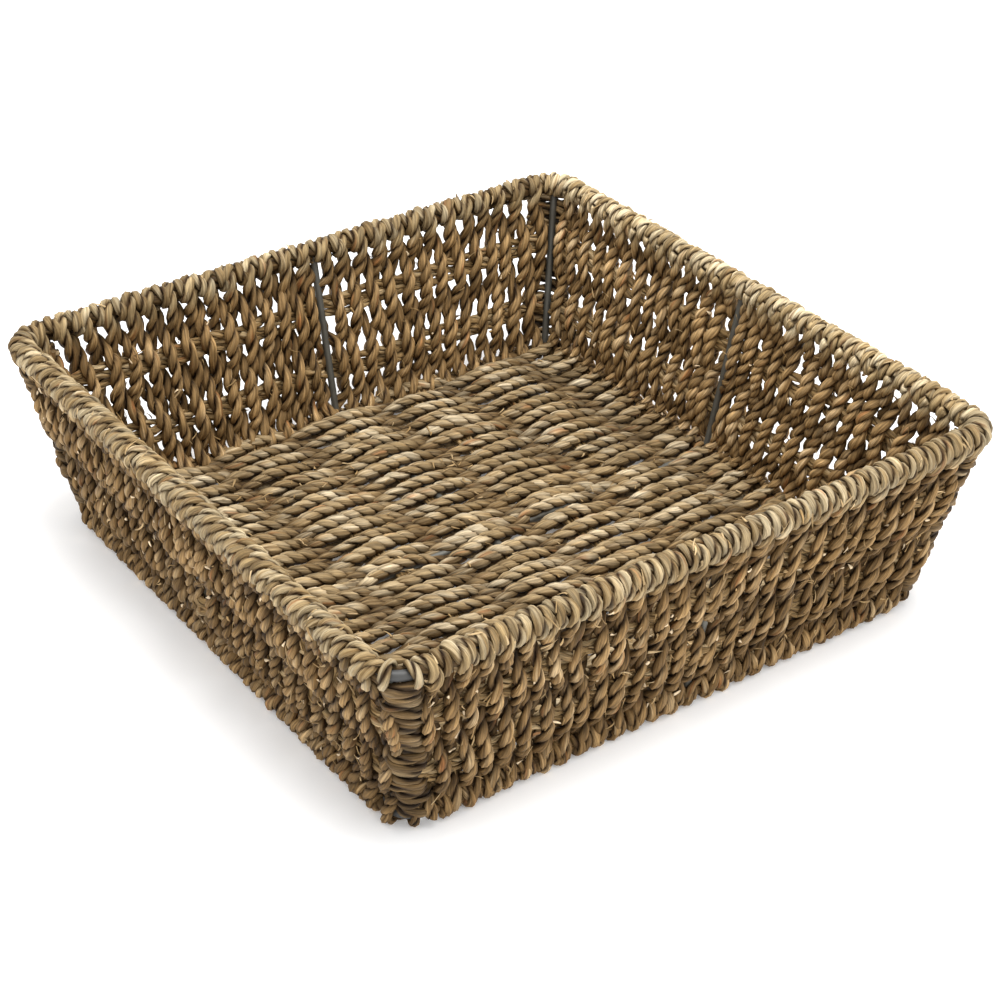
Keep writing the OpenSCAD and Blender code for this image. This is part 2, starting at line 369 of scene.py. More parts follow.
# ---------------------------------------------------------------- materials
def grass_material(name, rough, gain=1.0, sat=1.0, sheen=0.0):
    m = bpy.data.materials.new(name)
    m.use_nodes = True
    nt = m.node_tree
    nt.nodes.clear()
    N = nt.nodes.new
    L = nt.links.new
    out = N("ShaderNodeOutputMaterial"); bs = N("ShaderNodeBsdfPrincipled")
    L(bs.outputs["BSDF"], out.inputs["Surface"])
    fib = N("ShaderNodeAttribute"); fib.attribute_name = "fib"
    ton = N("ShaderNodeAttribute"); ton.attribute_name = "tone"
    # fine fibres that run along each ply
    n1 = N("ShaderNodeTexNoise"); n1.inputs["Scale"].default_value = 5.2; n1.inputs["Detail"].default_value = 3.0; n1.inputs["Roughness"].default_value = 0.62
    L(fib.outputs["Vector"], n1.inputs["Vector"])
    # broad blades
    n2 = N("ShaderNodeTexNoise"); n2.inputs["Scale"].default_value = 1.7; n2.inputs["Detail"].default_value = 2.0
    L(fib.outputs["Vector"], n2.inputs["Vector"])
    # blotches over the whole basket
    tc = N("ShaderNodeTexCoord")
    n3 = N("ShaderNodeTexNoise"); n3.inputs["Scale"].default_value = 38.0; n3.inputs["Detail"].default_value = 2.0
    L(tc.outputs["Object"], n3.inputs["Vector"])
    r1 = N("ShaderNodeMapRange"); r1.inputs["From Min"].default_value = 0.30; r1.inputs["From Max"].default_value = 0.70
    r1.inputs["To Min"].default_value = 0.62; r1.inputs["To Max"].default_value = 1.36
    L(n1.outputs["Fac"], r1.inputs["Value"])
    r2 = N("ShaderNodeMapRange"); r2.inputs["From Min"].default_value = 0.32; r2.inputs["From Max"].default_value = 0.68
    r2.inputs["To Min"].default_value = 0.60; r2.inputs["To Max"].default_value = 1.40
    L(n2.outputs["Fac"], r2.inputs["Value"])
    r3 = N("ShaderNodeMapRange"); r3.inputs["From Min"].default_value = 0.30; r3.inputs["From Max"].default_value = 0.70
    r3.inputs["To Min"].default_value = 0.86; r3.inputs["To Max"].default_value = 1.12
    L(n3.outputs["Fac"], r3.inputs["Value"])
    m1 = N("ShaderNodeMath"); m1.operation = "MULTIPLY"; L(r1.outputs["Result"], m1.inputs[0]); L(r2.outputs["Result"], m1.inputs[1])
    m2 = N("ShaderNodeMath"); m2.operation = "MULTIPLY"; L(m1.outputs[0], m2.inputs[0]); L(r3.outputs["Result"], m2.inputs[1])
    m3 = N("ShaderNodeMath"); m3.operation = "MULTIPLY"; L(m2.outputs[0], m3.inputs[0]); m3.inputs[1].default_value = gain
    mul = N("ShaderNodeVectorMath"); mul.operation = "SCALE"
    L(ton.outputs["Color"], mul.inputs[0]); L(m3.outputs[0], mul.inputs["Scale"])
    hsv = N("ShaderNodeHueSaturation"); hsv.inputs["Saturation"].default_value = sat
    L(mul.outputs["Vector"], hsv.inputs["Color"])
    L(hsv.outputs["Color"], bs.inputs["Base Color"])
    rr = N("ShaderNodeMapRange"); rr.inputs["To Min"].default_value = rough - 0.12; rr.inputs["To Max"].default_value = rough + 0.14
    rr.inputs["From Min"].default_value = 0.3; rr.inputs["From Max"].default_value = 0.7
    L(n2.outputs["Fac"], rr.inputs["Value"]); L(rr.outputs["Result"], bs.inputs["Roughness"])
    bs.inputs["Specular IOR Level"].default_value = 0.16
    bs.inputs["Sheen Weight"].default_value = sheen
    bs.inputs["Sheen Roughness"].default_value = 0.5
    bp = N("ShaderNodeBump"); bp.inputs["Strength"].default_value = 0.75; bp.inputs["Distance"].default_value = 0.00035
    L(n1.outputs["Fac"], bp.inputs["Height"])
    bp2 = N("ShaderNodeBump"); bp2.inputs["Strength"].default_value = 0.5; bp2.inputs["Distance"].default_value = 0.0007
    L(n2.outputs["Fac"], bp2.inputs["Height"]); L(bp.outputs["Normal"], bp2.inputs["Normal"])
    L(bp2.outputs["Normal"], bs.inputs["Normal"])
    return m


def wire_material(name, colour, rough, metallic, grime):
    m = bpy.data.materials.new(name)
    m.use_nodes = True
    nt = m.node_tree
    bs = nt.nodes["Principled BSDF"]
    N = nt.nodes.new
    L = nt.links.new
    tc = N("ShaderNodeTexCoord")
    n = N("ShaderNodeTexNoise"); n.inputs["Scale"].default_value = 260.0; n.inputs["Detail"].default_value = 4.0
    L(tc.outputs["Object"], n.inputs["Vector"])
    n2 = N("ShaderNodeTexNoise"); n2.inputs["Scale"].default_value = 45.0; n2.inputs["Detail"].default_value = 3.0
    L(tc.outputs["Object"], n2.inputs["Vector"])
    mx = N("ShaderNodeMix"); mx.data_type = "RGBA"
    mx.inputs["A"].default_value = (*colour, 1)
    mx.inputs["B"].default_value = (*grime, 1)
    rg = N("ShaderNodeMapRange"); rg.inputs["From Min"].default_value = 0.45; rg.inputs["From Max"].default_value = 0.75
    L(n2.outputs["Fac"], rg.inputs["Value"]); L(rg.outputs["Result"], mx.inputs["Factor"])
    L(mx.outputs["Result"], bs.inputs["Base Color"])
    rr = N("ShaderNodeMapRange"); rr.inputs["To Min"].default_value = rough - 0.1; rr.inputs["To Max"].default_value = rough + 0.15
    L(n.outputs["Fac"], rr.inputs["Value"]); L(rr.outputs["Result"], bs.inputs["Roughness"])
    bs.inputs["Metallic"].default_value = metallic
    bp = N("ShaderNodeBump"); bp.inputs["Strength"].default_value = 0.35; bp.inputs["Distance"].default_value = 0.00015
    L(n.outputs["Fac"], bp.inputs["Height"]); L(bp.outputs["Normal"], bs.inputs["Normal"])
    return m


M_RIM = grass_material("seagrass_rim", 0.60, gain=0.90)
M_WALL = grass_material("seagrass_wall", 0.64, gain=0.92)
M_FLOOR = grass_material("seagrass_floor", 0.62, gain=0.90)
# the weft gain is low: painted shade for strands that lie between the layers of cord
M_WEFT = grass_material("seagrass_weft", 0.66, gain=0.72)
# the lacing gain is low: painted shade that keeps the strongly lit front corner's strands dark
M_LACE = grass_material("seagrass_lacing", 0.64, gain=0.46)
M_TIPS = grass_material("seagrass_ends", 0.66, gain=1.0)
M_POST = wire_material("frame_wire_dark", (0.125, 0.122, 0.105), 0.48, 0.45, (0.075, 0.066, 0.05))
M_RING = wire_material("ring_wire_bright", (0.068, 0.068, 0.066), 0.5, 0.3, (0.05, 0.047, 0.042))

# ---------------------------------------------------------------- walls
# cord diameter, full lay, tone and spread of each side: 0 front right, 1 back right, 2 back left, 3 front left
SIDE_NAMES = {0: "front_right", 1: "back_right", 2: "back_left", 3: "front_left"}
SIDE_D = {0: 6.8, 1: 7.2, 2: 7.5, 3: 6.7}
SIDE_SEP = {0: 1.2, 1: 0.3, 2: 0.4, 3: 0.8}
SIDE_LAY = {0: 20.0, 1: 15.5, 2: 20.5, 3: 14.0}
SIDE_HOOK = {0: 21.0, 1: 16.0, 2: 18.0, 3: 14.0}
SIDE_TONE = {0: 0.42, 1: 0.38, 2: 0.40, 3: 0.40}
SIDE_S = {0: 1.6, 1: 2.2, 2: 2.15, 3: 1.9}
# lo, deep, gain and foot of each side's painted shade: the gains paint each side's light, the feet paint shade low on
# the front sides
SIDE_SHADE = {0: (0.28, 7.2, 1.00, 0.32), 1: (0.34, 6.8, 1.30, 0.0), 2: (0.46, 6.8, 1.17, 0.0), 3: (0.19, 7.4, 0.95, 0.39)}
POST_SIGN = {0: 1, 1: 1, 2: -1, 3: -1}
KNOT_Z = np.array([BASE_Z, 18.0, BAND_LOW, 52.0, BAND_HIGH, 0.5 * (BAND_HIGH + RIM_Z), RIM_Z])
KNOT_V = (KNOT_Z - BASE_Z) / CS
KNOT_PHI = np.array([3, 2.5, 2, 1.5, 1, 0.5, 0]) * math.pi
R_RIM, R_BASE = RW + 2.2, RW + 2.2


def loop_u(k, x, t):
    """Place along side k of loop x, counted from the middle one, at the fraction t of the height."""
    y = x / MID
    u = x * (P_BASE + (P_RIM - P_BASE) * t) * (1.035 + 0.02 * y ** 6)
    if k == 3:
        u = u + (8.2 * smooth(t / 0.45) - 3.0 * smooth((t - 0.6) / 0.4)) * smooth((y - 0.4) / 0.6)
    if k == 0:
        u = u + 4.6 * smooth((-y - 0.5) / 0.5)
    return u


def phi_of(v, jit):
    kn = KNOT_V.copy()
    kn[1:-1] += jit
    return sum(g * np.interp(v + e, kn, KNOT_PHI) for g, e in ((0.25, -3.0), (0.5, 0.0), (0.25, 3.0)))


def leg(k, i, which, drift, rows, fat):
    """One leg of loop i on side k, from the base wire (v=0) to the rim wire (v=SL); leg a is inside at the rim, b outside."""
    v = np.linspace(0, SL, 150)
    D = SIDE_D[k] * fat
    p = P_BASE + (P_RIM - P_BASE) * v / SL
    jit = np.array([float(rows(i, 10.0 * q)) for q in range(5)]) * 1.6 + rng.standard_normal(5) * 0.8
    c = np.cos(phi_of(v, jit))
    c[0], c[-1] = -1, 1
    mir = -1 if k in (2, 3) else 1
    lat = float(np.clip(SIDE_S[k] + 0.4 * rng.standard_normal(), 0.8, 2.7))
    layer = (-1 if which == "a" else 1) * c
    u = loop_u(k, i - MID, v / SL) + (-1 if which == "a" else 1) * mir * (p / 4 - (p / 4 - lat) * c)
    env = 0.35 + 0.65 * smooth(np.minimum(v / 16, (SL - v) / 16))
    u = u + env * ((1.9 if k == 0 else 1.5) * drift(i + (0.5 if which == "b" else 0), v) + 0.5 * snoise(v, 13))
    du = u - POST_OFF * POST_SIGN[k]
    clear = smooth((0.55 - layer) / 0.7) * smooth(np.minimum((v + 4) / 14, (SL - v + 4) / 14))
    u = u + np.sign(du) * (np.sqrt(du ** 2 + (6.3 * clear) ** 2) - np.abs(du))
    if k in (0, 3):
        u = u - 2.4 * np.sign(du) * np.exp(-(du / 8.0) ** 2) * smooth((layer - 0.1) / 0.5)
    d0 = 0.47 * D + SIDE_SEP[k]
    near = 1 - smooth(np.minimum(v, SL - v) / 15)
    R = np.where(v > SL / 2, R_RIM, R_BASE)
    w = layer * (d0 + (R - d0) * near) + 0.4 * snoise(v, 15) * env
    size = D * (0.97 + 0.03 * np.abs(c)) * (1 + 0.04 * snoise(v, 30))
    return u, w, v, size, 1 - 0.2 * near, SIDE_LAY[k] * (1 + 0.10 * rng.standard_normal() + 0.12 * snoise(v, 35))


def hook(k, u0, u1, R, v0, up, size, n=26):
    """Half turn round a wire, from inside (w=-R) to outside (w=+R)."""
    t = np.linspace(0, math.pi, n)[1:-1]
    one = np.ones_like(t)
    return (u0 + (u1 - u0) * smooth(t / math.pi), -R * np.cos(t) * (1 + 0.05 * rng.standard_normal()),
            v0 + (1 if up else -1) * R * np.sin(t), size * one, 0.8 * one, SIDE_HOOK[k] * one)


def emit(piece, grids, sl=slice(None)):
    for V, C, F in grids:
        piece.grid(V[sl], C[sl], F[sl])


def back(q):
    return tuple(x[::-1] for x in q)


def fatness():
    return float(np.clip(1 + 0.065 * rng.standard_normal(), 0.86, 1.17))


def build_zigzag(k, piece):
    """Sides 0 and 2: one cord that loops over the rim and under the base wire along the whole side."""
    drift, rows = Field(30, 8, 2.0, 24), Field(12, 8, 4.0, 10)
    run, prev = [], None
    for i in range(N_LOOP):
        f = fatness()
        A, Bq = leg(k, i, "a", drift, rows, f), leg(k, i, "b", drift, rows, f)
        run.append(back(hook(k, A[0][0], A[0][0] - 3 if prev is None else prev, R_BASE, 0, False, min(A[3][0], 6.3))))
        run.append(A)
        run.append(hook(k, A[0][-1], Bq[0][-1], R_RIM, SL, True, A[3][-1]))
        run.append(back(Bq))
        prev = Bq[0][0]
    U, W, V, S, F, LY = (np.concatenate(x) for x in zip(*run[1:]))
    P = side_point(k, U, W, V)
    # cords get paler over the last 14 mm of slope below the rim and round it: painted top light
    tone = SIDE_TONE[k] + 0.25 * smooth((V - (SL - 14)) / 14) + 0.07 * snoise(np.arange(len(V)) * 1.0, 260)
    emit(piece, cord(P, side_dir(k, (1, 0, 0)), S, LY, F, tone, ds=1.72)[1])


FLOOR_PITCH = 11.2


def build_through(pa, pb, floor_pieces):
    """Sides 1 and 3 and the floor: each cord runs down one side, through the floor and up the other."""
    drift = {1: Field(30, 8, 2.0, 24), 3: Field(30, 8, 2.0, 24)}
    rows = {1: Field(12, 8, 4.0, 10), 3: Field(12, 8, 4.0, 10)}
    fdrift, frow = Field(32, 14, 2.2, 28), Field(12, 14, 4.0, 10)
    RB = R_BASE
    for i in range(N_LOOP):
        parts = {}
        fat = fatness()
        for which in "ab":
            L1 = leg(1, i, which, drift[1], rows[1], fat)
            L3 = leg(3, N_LOOP - 1 - i, which, drift[3], rows[3], fat)
            x = np.linspace(BASE_H - 9, -(BASE_H - 9), 420)
            r = np.abs(x)
            jx = 3.8 * frow(i, (x + BASE_H) / 5) + 2.2 * snoise(x, 40)
            ph = math.pi * (3 + (BASE_H - np.clip(r + jx * smooth((BASE_H - 12 - r) / 20), 0, BASE_H)) / (BASE_H / 3))
            c = np.cos(ph) * (1 if which == "a" else -1)
            lat = float(np.clip(2.15 + 0.35 * rng.standard_normal(), 1.2, 2.8))
            sg = -1 if which == "a" else 1
            y = (i - MID) * FLOOR_PITCH + 2.6 * np.sign(i - MID) * (abs(i - MID) / MID) ** 4 + sg * (FLOOR_PITCH / 4 - (FLOOR_PITCH / 4 - lat) * c * (1 if which == "a" else -1))
            y = y + 1.4 * fdrift(i + (0.5 if which == "b" else 0), x + BASE_H) + 0.4 * snoise(x, 15)
            dy = y - POST_OFF
            y = y - 2.2 * np.sign(dy) * np.exp(-(dy / 8.0) ** 2) * smooth((c - 0.1) / 0.5)
            e = smooth((r - (BASE_H - 34)) / 24)
            y = y * (1 - e) + e * np.where(x > 0, L1[0][0], -L3[0][0])
            z = FLOOR_Z + np.where(c > 0, 3.9, 3.2) * c + 0.35 * snoise(x, 20)
            low = which == "a"
            ez = smooth((r - (BASE_H - 22)) / 13)
            z = z * (1 - ez) + ez * (BASE_Z - RB + 0.3 if low else BASE_Z + RB + 0.4)
            Pf = np.stack([x, y, z], -1)
            Df = 7.65 * fat * (0.97 + 0.03 * np.abs(c)) * (1 + 0.04 * snoise(x, 35))
            P1, P3 = back((side_point(1, *L1[:3]),))[0], side_point(3, *L3[:3])
            S1, S3 = L1[3][::-1], L3[3]
            F1, F3 = L1[4][::-1], L3[4]

            def corner(Pw, Pflo, sgn):
                """From the wall's last point to the floor's first one, round the base wire or inside it."""
                t = np.linspace(0, 1, 14)[1:-1]
                if low:
                    a0, a1 = -LEAN, -math.pi / 2
                    a = a0 + (a1 - a0) * t
                    return np.stack([sgn * (BASE_H + RB * np.cos(a)), Pw[1] + (Pflo[1] - Pw[1]) * t, BASE_Z + RB * np.sin(a)], -1)
                t = t[:, None]
                q = np.array([sgn * (BASE_H - RB * 0.9), (Pw[1] + Pflo[1]) / 2, BASE_Z + RB + 0.4])
                return (1 - t) ** 2 * Pw + 2 * t * (1 - t) * q + t ** 2 * Pflo

            if not low:
                k1, k3 = L1[2][::-1] > 8, L3[2] > 8
                P1, S1, F1 = P1[k1], S1[k1], F1[k1]
                P3, S3, F3 = P3[k3], S3[k3], F3[k3]
            c1, c3 = corner(P1[-1], Pf[0], 1), corner(P3[0], Pf[-1], -1)[::-1]
            P = np.concatenate([P1, c1, Pf, c3, P3])
            S = np.concatenate([S1, np.full(len(c1), 5.7), Df, np.full(len(c3), 5.7), S3])
            Fl = np.concatenate([F1, np.full(len(c1), 0.84), np.full(len(Pf), 0.92), np.full(len(c3), 0.84), F3])
            LY = np.concatenate([np.full(len(P1) + len(c1), L1[5].mean()), np.full(len(Pf), 15.0 * (1 + 0.08 * rng.standard_normal())), np.full(len(c3) + len(P3), L3[5].mean())])
            parts[which] = (P, S, Fl, LY, L1[0][-1], L3[0][-1])
        Pa, Sa, Fa, La, ua1, ua3 = parts["a"]
        Pb, Sb, Fb, Lb, ub1, ub3 = parts["b"]
        h3 = hook(3, ua3, ub3, R_RIM, SL, True, Sa[-1])
        h1 = hook(1, ua1, ub1, R_RIM, SL, True, Sa[0])
        P = np.concatenate([Pa, side_point(3, *h3[:3]), Pb[::-1], side_point(1, *h1[:3])[::-1]])
        S = np.concatenate([Sa, h3[3], Sb[::-1], h1[3]])
        Fl = np.concatenate([Fa, h3[4], Fb[::-1], h1[4]])
        LY = np.concatenate([La, h3[5], Lb[::-1], h1[5]])
        onfloor = smooth((BASE_H - 6 - np.abs(P[:, 0])) / 8) * (P[:, 2] < 20)
        tone = np.where(P[:, 0] > 0, SIDE_TONE[1], SIDE_TONE[3]) * (1 - onfloor) + 0.46 * onfloor
        # cords get paler in the top 13 mm below the rim: painted top light
        tone = tone + 0.25 * smooth((P[:, 2] - (RIM_Z - 13)) / 13) + 0.07 * snoise(np.arange(len(P)) * 1.0, 260)
        s, grids = cord(P, np.broadcast_to(np.array([0, 1.0, 0]), P.shape), S, LY, Fl, tone, full=onfloor)
        C = grids[0][0].mean(1)
        # the run is cut into side 1, floor and side 3 by where it is
        X, Z = C[:, 0], C[:, 2]
        zone = np.where((np.abs(X) < BASE_H - 3.5) & (Z < 30) & ~((np.abs(X) > BASE_H - 14) & (Z > 13.5)), 0, np.where(X > 0, 1, 3))
        edges = [0] + list(np.nonzero(np.diff(zone))[0] + 1) + [len(zone)]
        for e0, e1 in zip(edges[:-1], edges[1:]):
            target = {1: pa, 3: pb}.get(int(zone[e0]), floor_pieces[min(i // 9, 2)])
            emit(target, grids, slice(max(e0 - 1, 0), min(e1 + 1, len(zone))))


wall = {k: Piece(f"wall_weave_{SIDE_NAMES[k]}", [f"wall_cords_{SIDE_NAMES[k]}"], "seagrass_wall", M_WALL, shade_wall(k, *SIDE_SHADE[k]), {0: 0.92, 1: 0.95, 2: 0.80, 3: 0.98}[k]) for k in range(4)}
fl = [Piece(f"floor_weave_{n}", ["floor_cords"], "seagrass_floor", M_FLOOR, shade_floor) for n in ("front", "middle", "back")]
build_zigzag(0, wall[0])
build_zigzag(2, wall[2])
build_through(wall[1], wall[3], fl)
PIECES = [*wall.values(), *fl]


def corner_u(z):
    t = (z - BASE_Z) / RISE
    return (BASE_H - BASE_R) + ((RIM_H - RIM_R) - (BASE_H - BASE_R)) * t


# ---------------------------------------------------------------- bands of loose strands
for k in range(4):
    for z, lab in ((BAND_LOW, "low"), (BAND_HIGH, "high")):
        pc = Piece(f"weft_strands_{lab}_{SIDE_NAMES[k]}", [f"weft_{lab}_{SIDE_NAMES[k]}"], "seagrass_weft", M_WEFT)
        v0 = (z - BASE_Z) / CS
        e = corner_u(z) + 7
        u = np.linspace(-e, e, 260)
        post = POST_OFF * POST_SIGN[k]
        common = 0.9 * snoise(u, 60)
        for j in (-1, 0, 1):
            v = v0 + j * 3.9 + common + 0.9 * snoise(u, 20) + 0.5 * snoise(u, 7)
            w = 0.8 * np.sin(2 * math.pi * u / 11.9 + rng.random() * 6.28) + 0.7 * snoise(u, 9)
            w = w + 3.8 * np.exp(-((u - post) / 7) ** 2)
            emit(pc, strand(side_point(k, u, w, v), side_dir(k, (0, -SN, CS)), 4.9 * (1 + 0.12 * snoise(u, 14)), flat=0.9, tone=0.46 + 0.08 * rng.standard_normal(), spread=0.28, turn_len=24))
        PIECES.append(pc)

pc = Piece("floor_weft_strands", ["floor_wefts"], "seagrass_weft", M_WEFT)
for x0 in (-2 * FLOOR_BAND, -FLOOR_BAND, 0, FLOOR_BAND, 2 * FLOOR_BAND):
    for j in (-1, 0, 1):
        if x0 == 0 and j == 1:
            continue
        y = np.linspace(-(BASE_H - 5), BASE_H - 5, 220)
        x = x0 + (j * 3.2 if x0 else POST_OFF - POST_R - 2.0 + j * 3.2) + 0.8 * snoise(y, 26)
        z = FLOOR_Z + 0.4 * snoise(y, 10) - 1.2 * np.exp(-((y - POST_OFF) / 6) ** 2)
        emit(pc, strand(np.stack([x, y, z], -1), np.array([1.0, 0, 0]), 3.5, flat=0.85, tone=0.40, turn_len=32, ds=2.0))
PIECES.append(pc)


# ---------------------------------------------------------------- wraps round the rings
def ring_at(k, u, half, z, r):
    """Point, tangent and outward normal of a ring's centreline at u along side k; past the straight run it goes round the corner."""
    c = half - r
    if abs(u) <= c:
        p, t, n = np.array([u, -half, z]), np.array([1.0, 0, 0]), np.array([0, -1.0, 0])
    else:
        sg = 1 if u > 0 else -1
        a = (abs(u) - c) / r
        p = np.array([sg * (c + r * math.sin(a)), -(c + r * math.cos(a)), z])
        t = np.array([math.cos(a), sg * -math.sin(a) * -1, 0.0])
        n = np.array([sg * math.sin(a), -math.cos(a), 0.0])
    return side_dir(k, p), side_dir(k, t), side_dir(k, n)


def wrap(piece, k, u, half, z, r, D, R, adv, tone, start=-1.9, turns=1.12, flat=0.78, lay=None):
    """One turn of cord round a ring wire, advancing adv along it. Its ends are tucked in against the wire."""
    n = 60
    t = np.linspace(0, 1, n)
    ang = start + 2 * math.pi * turns * t
    rad = R - 1.1 * (1 - smooth(np.minimum(t, 1 - t) / 0.14)) + 0.2 * snoise(t * 40, 9)
    pts, bs = [], []
    for q in range(n):
        p, tg, nn = ring_at(k, u + adv * (t[q] - 0.5), half, z, r)
        pts.append(p + rad[q] * (-math.cos(ang[q]) * nn + math.sin(ang[q]) * np.array([0, 0, 1.0])))
        bs.append(tg)
    emit(piece, cord(np.array(pts), np.array(bs), D, lay or SIDE_HOOK[k] * rng.uniform(0.85, 1.2), flat, tone, ds=1.5)[1])


def corner_spots(k, half, r, t, pitch, lo_deg=None):
    """Places for wraps between the last loop of side k and the first of the next side."""
    c = half - r
    e0 = float(loop_u(k, MID, t)) - c
    e1 = r * math.pi / 2 - (-float(loop_u((k + 1) % 4, -MID, t)) - c)
    n = max(1, int(round((e1 - e0) / pitch)) - 1)
    return c + e0 + (e1 - e0) * (np.arange(n) + 1) / (n + 1)


# rim wraps are toned paler than the walls: painted top light; shade_ring paints shade against the wire and a per-side
# gain for the light each side's rim gets
rim_pieces = {k: Piece(f"rim_binding_{SIDE_NAMES[k]}", [f"rim_wrap_{SIDE_NAMES[k]}"], "seagrass_rim", M_RIM, shade_ring(k, RIM_H, RIM_R, RIM_Z, 0.25, {0: 0.66, 1: 1.22, 2: 0.67, 3: 0.81}[k])) for k in range(4)}
for k in range(4):
    adv = -1 if k == 3 else 1
    for i in range(N_LOOP - 1):
        u = 0.5 * (float(loop_u(k, i - MID, 1.0)) + float(loop_u(k, i + 1 - MID, 1.0))) + 0.4 * rng.standard_normal()
        wrap(rim_pieces[k], k, u, RIM_H, RIM_Z, RIM_R, (7.0 if k == 2 else 6.6) * fatness(), R_RIM + 0.1 + 0.2 * rng.standard_normal(), adv * rng.uniform(3.5, 7.5), 0.70 + 0.10 * rng.standard_normal())
    c = RIM_H - RIM_R
    for u in corner_spots(k, RIM_H, RIM_R, 1.0, 5.3):
        if k == 3:
            break
        wrap(rim_pieces[k], k, u, RIM_H, RIM_Z, RIM_R, 6.3 * fatness(), R_RIM + 0.1, adv * 4.5, 0.70 + 0.08 * rng.standard_normal())
    if k == 3:
        wrap(rim_pieces[k], k, c + 11.0, RIM_H, RIM_Z, RIM_R, 5.4, R_RIM + 0.1, -3.0, 0.76, lay=22.0)
        wrap(rim_pieces[k], k, c + 20.8, RIM_H, RIM_Z, RIM_R, 5.2, R_RIM + 0.1, 4.0, 0.74, lay=26.0)

def sleeve(piece, k, u0, u1, half, z, r, D):
    """Cord ends laid along the ring wire, under the wraps."""
    u = np.linspace(u0, u1, int((u1 - u0) / 2.5))
    pts, _, nn = (np.array(q) for q in zip(*(ring_at(k, x, half, z, r) for x in u)))
    emit(piece, cord(pts, nn, D, 30.0, 1.0, 0.42, 8, 3, 0.2, 1.0, 2.5, 0.10)[1])


for k in range(4):
    sleeve(rim_pieces[k], k, -(RIM_H - RIM_R), (RIM_H - RIM_R) + (10.0 if k == 3 else RIM_R * math.pi / 2), RIM_H, RIM_Z, RIM_R, 8.3)
# the cord end that passes inside the bare stretch of rim wire
pts, tgs = [], []
for a in np.radians(np.linspace(14, 104, 40)):
    rr = RIM_R - 4.6 + 0.3 * math.sin(5 * a)
    c = RIM_H - RIM_R
    pts.append((-(c + rr * math.cos(a)) if a < math.pi / 2 else -c + (a - math.pi / 2) * RIM_R, -(c + rr * math.sin(min(a, math.pi / 2))), RIM_Z + 0.3 * math.sin(4 * a)))
emit(rim_pieces[3], cord(np.array(pts), np.array([0, 0, 1.0]), 5.6, 22.0, 0.9, 0.72)[1])

base_piece = Piece("base_binding", ["base_wrap"], "seagrass_wall", M_WALL)
def shade_base(V):
    d = np.min([ring_off(V, k, BASE_H, BASE_R, BASE_Z)[1] for k in range(4)], axis=0)
    return 0.25 + 0.75 * smooth((d - 3.0) / 3.9)


base_piece.shade = shade_base
for k in range(4):
    adv = -1 if k == 3 else 1
    for i in range(N_LOOP - 1):
        u = 0.5 * (float(loop_u(k, i - MID, 0.0)) + float(loop_u(k, i + 1 - MID, 0.0))) + 0.4 * rng.standard_normal()
        wrap(base_piece, k, u, BASE_H, BASE_Z, BASE_R, 6.4 * fatness(), R_BASE - 0.1, adv * rng.uniform(3, 6), 0.40, start=1.2)
    sleeve(base_piece, k, -(BASE_H - BASE_R), (BASE_H - BASE_R) + (1.0 if k == 3 else BASE_R * math.pi / 2), BASE_H, BASE_Z, BASE_R, 7.8)
    spots = [BASE_H - BASE_R + 12.4] if k == 3 else corner_spots(k, BASE_H, BASE_R, 0.0, 6.6)
    for u in spots:
        wrap(base_piece, k, u, BASE_H, BASE_Z, BASE_R, 4.6, RW + 1.7, adv * 3.5, 0.38, start=1.2)
PIECES += [*rim_pieces.values(), base_piece]

# ---------------------------------------------------------------- corner lacing
CORNERS = {0: "right", 1: "back", 2: "left", 3: "front"}
N_LACE = 18


def shade_lace(k):
    # the back, left and right corners get painted light, most of it on their inner faces
    g_out, g_in = (1.0, 1.0) if k == 3 else (1.25, 2.3)

    def f(V):
        t = np.clip((V[..., 2] - BASE_Z) / RISE, 0, 1)
        r0 = BASE_R + (RIM_R - BASE_R) * t
        c = (BASE_H - BASE_R) + ((RIM_H - RIM_R) - (BASE_H - BASE_R)) * t
        d = np.hypot(np.maximum(np.abs(V[..., 0]) - c, 0), np.maximum(np.abs(V[..., 1]) - c, 0)) - r0
        return 0.20 + 0.80 * np.maximum(g_out * smooth((d - 1.8) / 4.0), g_in * smooth((2.6 - d) / 1.8))
    return f


for k in range(4):
    pc = Piece(f"corner_strands_{CORNERS[k]}", [f"corner_lacing_{CORNERS[k]}"], "seagrass_wall", M_LACE, shade_lace(k))
    for q in range(N_LACE):
        z0 = BASE_Z + 3.4 + (RISE - 6.4) * (q + 0.5) / N_LACE + 0.4 * rng.standard_normal()
        tl, tr = 1.2 * rng.standard_normal(), 1.2 * rng.standard_normal()
        if rng.random() < 0.25:
            tl += 4.0 * rng.choice([-1, 1])
        r0 = BASE_R + (RIM_R - BASE_R) * (z0 - BASE_Z) / RISE
        o = POST_R + 1.3 + 0.5 * rng.standard_normal()
        arc = (r0 + o) * math.pi / 2
        # the ends go in behind the first wall cords; at the front corner the strands sit towards the front right side
        a0, a1 = (8.0, arc + 1.5) if k == 3 else (-4.5, arc + 4.5)
        a0, a1 = a0 + 1.2 * rng.standard_normal(), a1 + 1.2 * rng.standard_normal()
        sx = np.linspace(a0, a1, 70)
        tuck = smooth(1 - np.minimum(sx - a0, a1 - sx) / 5.5)
        oo = o - (o + 0.4) * tuck
        z = z0 + tl * np.clip(0.5 - sx / arc, -0.4, 1) + tr * np.clip(sx / arc - 0.5, -0.4, 1) - 0.8 * np.sin(math.pi * np.clip((sx - a0) / (a1 - a0), 0, 1)) + 0.35 * snoise(sx, 7)
        c = corner_u(z)
        a = np.clip(sx / (r0 + o), 0, math.pi / 2)
        X = c + (r0 + oo) * np.sin(a) + np.minimum(sx, 0)
        Y = -(c + (r0 + oo) * np.cos(a)) + np.maximum(sx - arc, 0)
        P = turn(k, np.stack([X, Y, z], -1))
        emit(pc, cord(P, np.array([0, 0, 1.0]), 6.3 * (1 + 0.10 * rng.standard_normal()), 40.0, 0.74, 0.44, 10, 2, 0.26, 1.0, 1.4, 0.17)[1])
    PIECES.append(pc)

